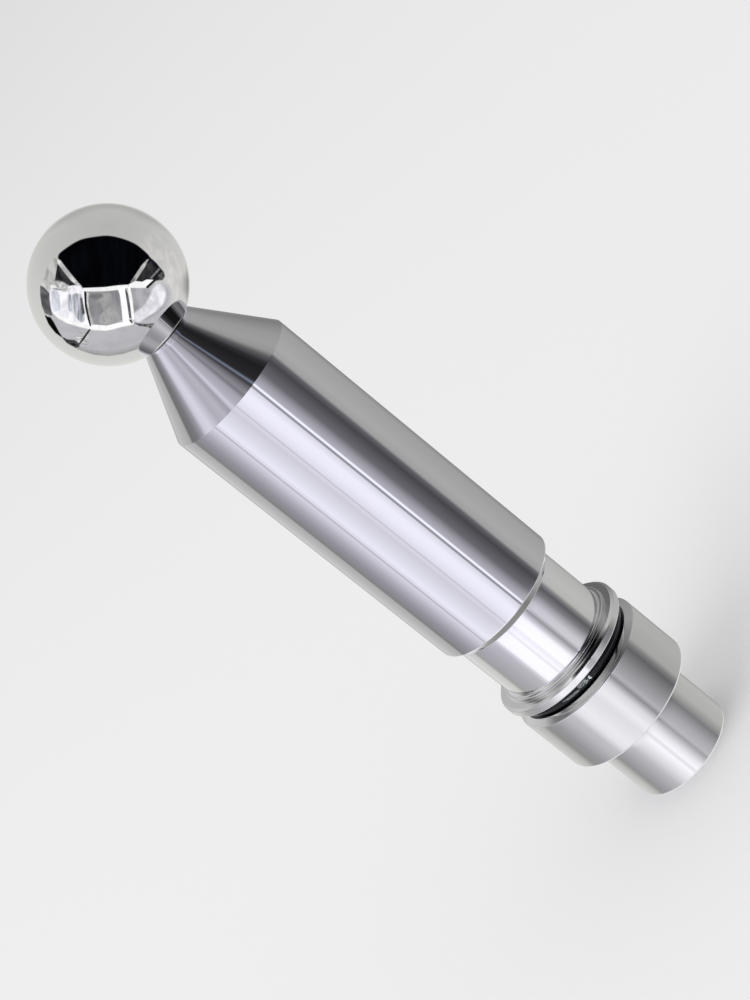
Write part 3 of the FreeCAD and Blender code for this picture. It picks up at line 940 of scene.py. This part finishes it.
# Name, outline, level, second level, tint, streaks, softness, rounded
CARDS = (
    ("low_edge", (
        (-0.56, -0.62), (-0.37, -0.775), (-0.18, -0.838), (0.0, -0.855), (0.173, -0.827),
        (0.341, -0.769), (0.45, -0.70), (0.40, -0.60), (0.0, -0.70), (-0.40, -0.60),
    ), 150, 162, PLAIN, (3, 3), 0.012, False),
    ("lower_sheet", (
        (-0.70, -0.40), (-0.60, -0.56), (-0.48, -0.66), (-0.33, -0.72), (-0.17, -0.77),
        (0.0, -0.785), (0.16, -0.76), (0.33, -0.70), (0.50, -0.62), (0.66, -0.40),
        (0.72, -0.10), (0.60, 0.0), (0.20, -0.10), (-0.30, -0.10), (-0.66, -0.10),
    ), 188, 176, LILAC, (1.5, 3), 0.06, True),
    ("opening", (
        (-0.59, 0.33), (-0.57, 0.375), (-0.50, 0.43), (-0.40, 0.495), (-0.30, 0.54),
        (-0.15, 0.568), (0.0, 0.58), (0.15, 0.552), (0.30, 0.495), (0.40, 0.425), (0.49, 0.33),
        (0.44, 0.26), (0.38, 0.16), (0.30, 0.07), (0.23, 0.005), (0.0, -0.025),
        (-0.29, -0.035), (-0.40, 0.09), (-0.50, 0.21), (-0.57, 0.29),
    ), 8, 3, NIGHT, (5, 1), 0.014, True),
    ("right_wing", (
        (0.49, 0.33), (0.57, 0.26), (0.65, 0.16), (0.66, 0.09), (0.60, 0.06), (0.45, 0.04),
        (0.32, 0.03), (0.38, 0.13), (0.43, 0.25),
    ), 8, 28, NIGHT, (9, 6), 0.014, False),
    ("wing_cloth", (
        (0.43, 0.21), (0.51, 0.27), (0.56, 0.20), (0.50, 0.10), (0.40, 0.06), (0.36, 0.06),
    ), 64, 28, LILAC, (10, 5), 0.02, False),
    ("wing_rib", ((0.605, 0.205), (0.62, 0.19), (0.51, 0.07), (0.495, 0.08)),
        130, 90, PLAIN, (8, 8), 0.007, False),
    ("wing_tip", ((0.60, 0.11), (0.655, 0.16), (0.67, 0.11), (0.64, 0.06), (0.60, 0.07)),
        96, 60, WARM, (12, 12), 0.015, False),
    ("right_strut", (
        (0.478, 0.305), (0.462, 0.30), (0.395, 0.225), (0.335, 0.135), (0.26, 0.03),
        (0.30, 0.03), (0.37, 0.125), (0.43, 0.215),
    ), 200, 120, PLAIN, (6, 3), 0.008, False),
    ("left_wing", (
        (-0.635, 0.29), (-0.60, 0.25), (-0.50, 0.12), (-0.36, -0.02), (-0.47, -0.02),
        (-0.55, 0.01), (-0.645, 0.05), (-0.625, 0.15),
    ), 16, 62, BLUE, (9, 7), 0.012, False),
    ("left_strut", (
        (-0.605, 0.30), (-0.57, 0.29), (-0.43, 0.10), (-0.31, -0.03), (-0.335, -0.035),
        (-0.44, 0.055), (-0.52, 0.155), (-0.60, 0.26),
    ), 226, 170, PLAIN, (9, 6), 0.010, False),
    ("left_cloth", (
        (-0.80, 0.02), (-0.775, 0.10), (-0.72, 0.21), (-0.635, 0.32), (-0.61, 0.26),
        (-0.63, 0.13), (-0.65, 0.04), (-0.70, -0.01), (-0.72, -0.05), (-0.77, -0.04),
    ), 208, 160, WARM, (8, 4), 0.012, True),
    ("left_panel", (
        (-0.81, -0.01), (-0.77, -0.035), (-0.71, -0.10), (-0.70, -0.20), (-0.68, -0.365),
        (-0.76, -0.34), (-0.795, -0.25), (-0.812, -0.12),
    ), 66, 108, LILAC, (3, 6), 0.012, False),
    ("left_sliver", (
        (-0.765, -0.36), (-0.735, -0.385), (-0.70, -0.39), (-0.66, -0.45), (-0.60, -0.57),
        (-0.56, -0.63), (-0.64, -0.575), (-0.72, -0.47),
    ), 3, 12, PLAIN, (3, 3), 0.010, False),
    ("low_sliver", (
        (-0.56, -0.63), (-0.50, -0.66), (-0.41, -0.665), (-0.37, -0.70), (-0.36, -0.74),
        (-0.40, -0.755), (-0.50, -0.70),
    ), 24, 84, PLAIN, (8, 14), 0.012, False),
    ("left_window", (
        (-0.66, -0.02), (-0.60, 0.0), (-0.48, -0.02), (-0.40, -0.01), (-0.33, -0.03),
        (-0.305, -0.10), (-0.29, -0.25), (-0.26, -0.42), (-0.235, -0.49), (-0.34, -0.48),
        (-0.50, -0.42), (-0.62, -0.36), (-0.67, -0.32), (-0.69, -0.22), (-0.695, -0.10),
    ), 260, 222, LILAC, (9, 2.5), 0.012, True),
    ("left_crumple", (
        (-0.65, 0.035), (-0.55, 0.015), (-0.47, -0.03), (-0.48, -0.065), (-0.56, -0.055),
        (-0.67, -0.03),
    ), 250, 130, PLAIN, (7, 11), 0.03, True),
    ("left_fold", (
        (-0.42, -0.13), (-0.36, -0.11), (-0.315, -0.16), (-0.295, -0.40), (-0.33, -0.43),
        (-0.385, -0.37), (-0.41, -0.25),
    ), 205, 125, BLUE, (22, 2), 0.018, True),
    ("dark_fold", ((-0.335, -0.16), (-0.317, -0.15), (-0.285, -0.33), (-0.312, -0.36)),
        66, 120, BLUE, (10, 3), 0.008, False),
    ("middle_fold", ((-0.48, -0.12), (-0.45, -0.11), (-0.435, -0.32), (-0.47, -0.30)),
        225, 150, BLUE, (26, 3), 0.012, False),
    ("low_fold", ((-0.67, -0.08), (-0.60, -0.10), (-0.59, -0.29), (-0.65, -0.27)),
        232, 190, BLUE, (10, 3), 0.02, True),
    ("right_window", (
        (0.27, -0.03), (0.45, -0.04), (0.60, 0.0), (0.68, -0.05), (0.70, -0.18), (0.62, -0.30),
        (0.50, -0.38), (0.40, -0.42), (0.31, -0.42), (0.29, -0.25),
    ), 146, 178, LILAC, (4, 2), 0.02, True),
    ("right_streak", (
        (0.32, -0.34), (0.42, -0.27), (0.50, -0.15), (0.54, -0.05), (0.60, 0.0), (0.66, -0.05),
        (0.66, -0.18), (0.58, -0.28), (0.45, -0.37), (0.36, -0.43), (0.32, -0.42),
    ), 252, 214, LILAC, (6, 4), 0.03, True),
    ("white_ledge", (
        (0.24, 0.0), (0.32, 0.042), (0.40, 0.032), (0.46, 0.06), (0.55, 0.055), (0.50, 0.02),
        (0.44, -0.03), (0.26, -0.03),
    ), 258, 244, PLAIN, (5, 3), 0.010, False),
    ("wing_line", ((0.585, 0.10), (0.605, 0.09), (0.465, -0.04), (0.445, -0.025)),
        16, 34, PLAIN, (3, 3), 0.007, False),
    ("centre_window", (
        (-0.245, -0.09), (0.0, -0.08), (0.12, -0.065), (0.13, -0.20), (0.16, -0.41),
        (0.06, -0.46), (-0.06, -0.49), (-0.17, -0.47), (-0.225, -0.30),
    ), 128, 156, LILAC, (4, 2), 0.010, False),
    ("centre_cloth", (
        (-0.10, -0.12), (0.02, -0.11), (0.05, -0.25), (0.12, -0.42), (-0.08, -0.46),
        (-0.10, -0.38), (-0.05, -0.30), (-0.10, -0.20),
    ), 172, 148, PLAIN, (8, 4), 0.018, True),
    ("centre_shade", ((-0.20, -0.13), (-0.08, -0.12), (-0.12, -0.155), (-0.17, -0.16)),
        112, 128, PLAIN, (5, 5), 0.03, True),
    ("low_arc", (
        (-0.66, -0.335), (-0.60, -0.395), (-0.50, -0.45), (-0.35, -0.495), (-0.20, -0.53),
        (-0.05, -0.54), (0.05, -0.525), (0.15, -0.495), (0.28, -0.47), (0.30, -0.44),
        (0.24, -0.44), (0.12, -0.455), (-0.02, -0.49), (-0.15, -0.48), (-0.24, -0.485),
        (-0.40, -0.445), (-0.55, -0.39), (-0.64, -0.32),
    ), 258, 240, PLAIN, (5, 3), 0.012, False),
    ("top_frame", (
        (-0.30, -0.07), (-0.30, -0.04), (-0.05, -0.03), (0.10, -0.01), (0.23, 0.0),
        (0.24, -0.03), (0.10, -0.055), (-0.05, -0.07), (-0.20, -0.072),
    ), 252, 232, PLAIN, (3, 3), 0.007, False),
    ("left_frame", (
        (-0.315, -0.05), (-0.295, -0.05), (-0.272, -0.26), (-0.232, -0.48), (-0.250, -0.48),
        (-0.292, -0.26),
    ), 256, 232, PLAIN, (3, 3), 0.006, False),
    ("centre_edge", (
        (-0.262, -0.09), (-0.238, -0.10), (-0.245, -0.20), (-0.20, -0.45), (-0.212, -0.48),
        (-0.235, -0.38), (-0.262, -0.22),
    ), 246, 170, PLAIN, (14, 8), 0.006, False),
    ("left_line", (
        (-0.288, -0.08), (-0.265, -0.08), (-0.262, -0.22), (-0.235, -0.38), (-0.212, -0.49),
        (-0.225, -0.49), (-0.25, -0.40), (-0.28, -0.25),
    ), 14, 44, PLAIN, (3, 3), 0.005, False),
    ("right_frame", (
        (0.115, -0.05), (0.195, -0.02), (0.205, -0.10), (0.24, -0.40), (0.25, -0.46),
        (0.17, -0.44), (0.155, -0.25), (0.14, -0.12),
    ), 260, 250, PLAIN, (3, 3), 0.008, False),
    ("right_line", (
        (0.200, -0.04), (0.230, -0.12), (0.252, -0.25), (0.268, -0.39), (0.244, -0.39),
        (0.220, -0.22), (0.200, -0.08),
    ), 62, 116, BLUE, (3, 3), 0.005, False),
    ("right_edge", (
        (0.228, -0.02), (0.252, -0.02), (0.278, -0.15), (0.302, -0.40), (0.282, -0.42),
        (0.275, -0.39), (0.260, -0.25), (0.240, -0.12),
    ), 258, 236, PLAIN, (3, 3), 0.006, False),
    ("frame_foot", ((0.238, -0.415), (0.265, -0.42), (0.285, -0.45), (0.268, -0.455)),
        56, 90, PLAIN, (3, 3), 0.005, False),
    ("hatch", (
        (-0.39, -0.62), (-0.32, -0.57), (-0.25, -0.60), (-0.27, -0.73), (-0.35, -0.70),
    ), 236, 132, PLAIN, (7, 36), 0.02, False),
    ("seam", (
        (-0.233, -0.525), (-0.217, -0.532), (-0.30, -0.65), (-0.375, -0.745), (-0.385, -0.735),
        (-0.31, -0.63),
    ), 46, 80, PLAIN, (3, 3), 0.005, False),
    ("low_mark", (
        (0.30, -0.45), (0.36, -0.465), (0.44, -0.47), (0.58, -0.46), (0.52, -0.54),
        (0.47, -0.50), (0.37, -0.49),
    ), 36, 130, PLAIN, (16, 16), 0.008, False),
)

# Small lamps that only the seal ring mirrors: name, azimuth, elevation, half width and
# half height in degrees, strength
GLINTS = (
    ("seal_glint", -5.5, -24.6, 1.6, 30.0, 90.0),
    ("seal_glint_middle", -19.5, -30.0, 9.0, 54.0, 18.0),
    ("seal_glint_left", -48.0, -50.0, 15.0, 38.0, 13.0),
)
GLINT_DISTANCE = 90.0
GLINT_COLOUR = (0.9, 0.97, 1.0, 1)
# Stripes across a glint, their edges, and how bright the dark ones are to the others
STRIPE_CELLS = (0.24, 0.1, 0.0)
STRIPE_EDGES = (0.42, 0.58)
DARK_STRIPE = 0.1


def add_glint(name, receivers, azimuth, elevation, half_width, half_height, strength):
    """A small striped lamp."""
    vertices = []
    for across, along in SQUARE:
        turn = math.radians(azimuth + across * half_width)
        slope = math.radians(elevation + along * half_height)
        reach = GLINT_DISTANCE * math.cos(slope)
        height = GLINT_DISTANCE * math.sin(slope)
        vertices.append((reach * math.sin(turn), -reach * math.cos(turn), height))
    graph = Graph(name + "_light")
    stripes = graph.noise(graph.object_place(), STRIPE_CELLS)
    strengths = (DARK_STRIPE * strength, strength)
    shine = glow(graph, GLINT_COLOUR)
    graph.feed(shine.inputs["Strength"], graph.between(stripes, STRIPE_EDGES, strengths))
    see_through(graph, shine)
    hang(new_object(name, vertices, [(0, 1, 2, 3)]), graph, receivers)


# Studio: pale floor, even light all round, a backdrop as pale as the far end of the floor,
# and one soft lamp above on the left
FLOOR_HALF = 6.0
FLOOR_COLOUR = (0.80, 0.80, 0.803, 1)
WHITE = (1, 1, 1, 1)
ROOM_LIGHT = 0.88
BACKDROP_LIGHT = 0.71
LAMP_PLACE = Vector((-1.3, -0.9, 2.0))
LAMP_SIZE = 1.6
LAMP_POWER = 18.0


def add_floor():
    """Plain pale floor."""
    corners = [(x * FLOOR_HALF, y * FLOOR_HALF, 0) for x, y in SQUARE]
    floor = new_object("floor", corners, [(0, 1, 2, 3)])
    graph = Graph("floor_paper")
    graph.shader.inputs["Base Color"].default_value = FLOOR_COLOUR
    graph.shader.inputs["Roughness"].default_value = 0.9
    graph.shader.inputs["Specular IOR Level"].default_value = 0.0
    floor.data.materials.append(graph.material)
    floor.visible_glossy = False


def add_lights():
    """Even light, backdrop and lamp."""
    world = bpy.data.worlds.new("studio")
    bpy.context.scene.world = world
    world.use_nodes = True
    nodes = world.node_tree.nodes
    links = world.node_tree.links
    background = nodes["Background"]
    background.inputs["Color"].default_value = WHITE
    background.inputs["Strength"].default_value = ROOM_LIGHT
    backdrop = nodes.new("ShaderNodeBackground")
    backdrop.inputs["Color"].default_value = WHITE
    backdrop.inputs["Strength"].default_value = BACKDROP_LIGHT
    path = nodes.new("ShaderNodeLightPath")
    chosen = nodes.new("ShaderNodeMixShader")
    links.new(path.outputs["Is Camera Ray"], chosen.inputs[0])
    links.new(background.outputs[0], chosen.inputs[1])
    links.new(backdrop.outputs[0], chosen.inputs[2])
    links.new(chosen.outputs[0], nodes["World Output"].inputs["Surface"])
    data = bpy.data.lights.new("softbox", "AREA")
    data.shape = "DISK"
    data.size = LAMP_SIZE
    data.energy = LAMP_POWER
    lamp = bpy.data.objects.new("softbox", data)
    aim = LAMP_PLACE.to_track_quat("Z", "Y").to_matrix().to_4x4()
    lamp.matrix_world = Matrix.Translation(LAMP_PLACE) @ aim
    lamp.visible_glossy = False
    bpy.context.scene.collection.objects.link(lamp)


def add_camera():
    """Camera at the photograph's viewing angle."""
    data = bpy.data.cameras.new("camera")
    data.sensor_width = SENSOR_MM
    data.lens = LENS_MM
    camera = bpy.data.objects.new("camera", data)
    axes = Matrix((RIGHT, UP, BACK)).transposed().to_4x4()
    camera.matrix_world = Matrix.Translation(CAMERA_PLACE) @ axes
    bpy.context.scene.collection.objects.link(camera)
    bpy.context.scene.camera = camera


add_camera()
add_floor()
add_lights()

bar = make_bar()
ball = make_ball()
seal = make_seal()
for piece, node, slot, finish in (
    (bar, "bar_body", "polished_steel", ground_steel()),
    (ball, "master_ball", "ball_steel", lapped_steel()),
    (seal, "o_ring", "black_rubber", black_rubber()),
):
    piece.data.materials.append(finish)
    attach(piece, "root")
    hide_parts(node)
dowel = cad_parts["ball_dowel"]
dowel.data.materials.clear()
dowel.data.materials.append(dowel_steel())

add_bar_tent([bar, seal, dowel])
ball_only = receivers_of("ball_tent_for", [ball])
add_ball_tent(ball_only)
seal_only = receivers_of("glints_for", [seal])
for name, *numbers in GLINTS:
    add_glint(name, seal_only, *numbers)
for layer, (name, *details) in enumerate(CARDS):
    add_card(name, layer, ball_only, *details)

bpy.context.scene.view_settings.view_transform = "Standard"
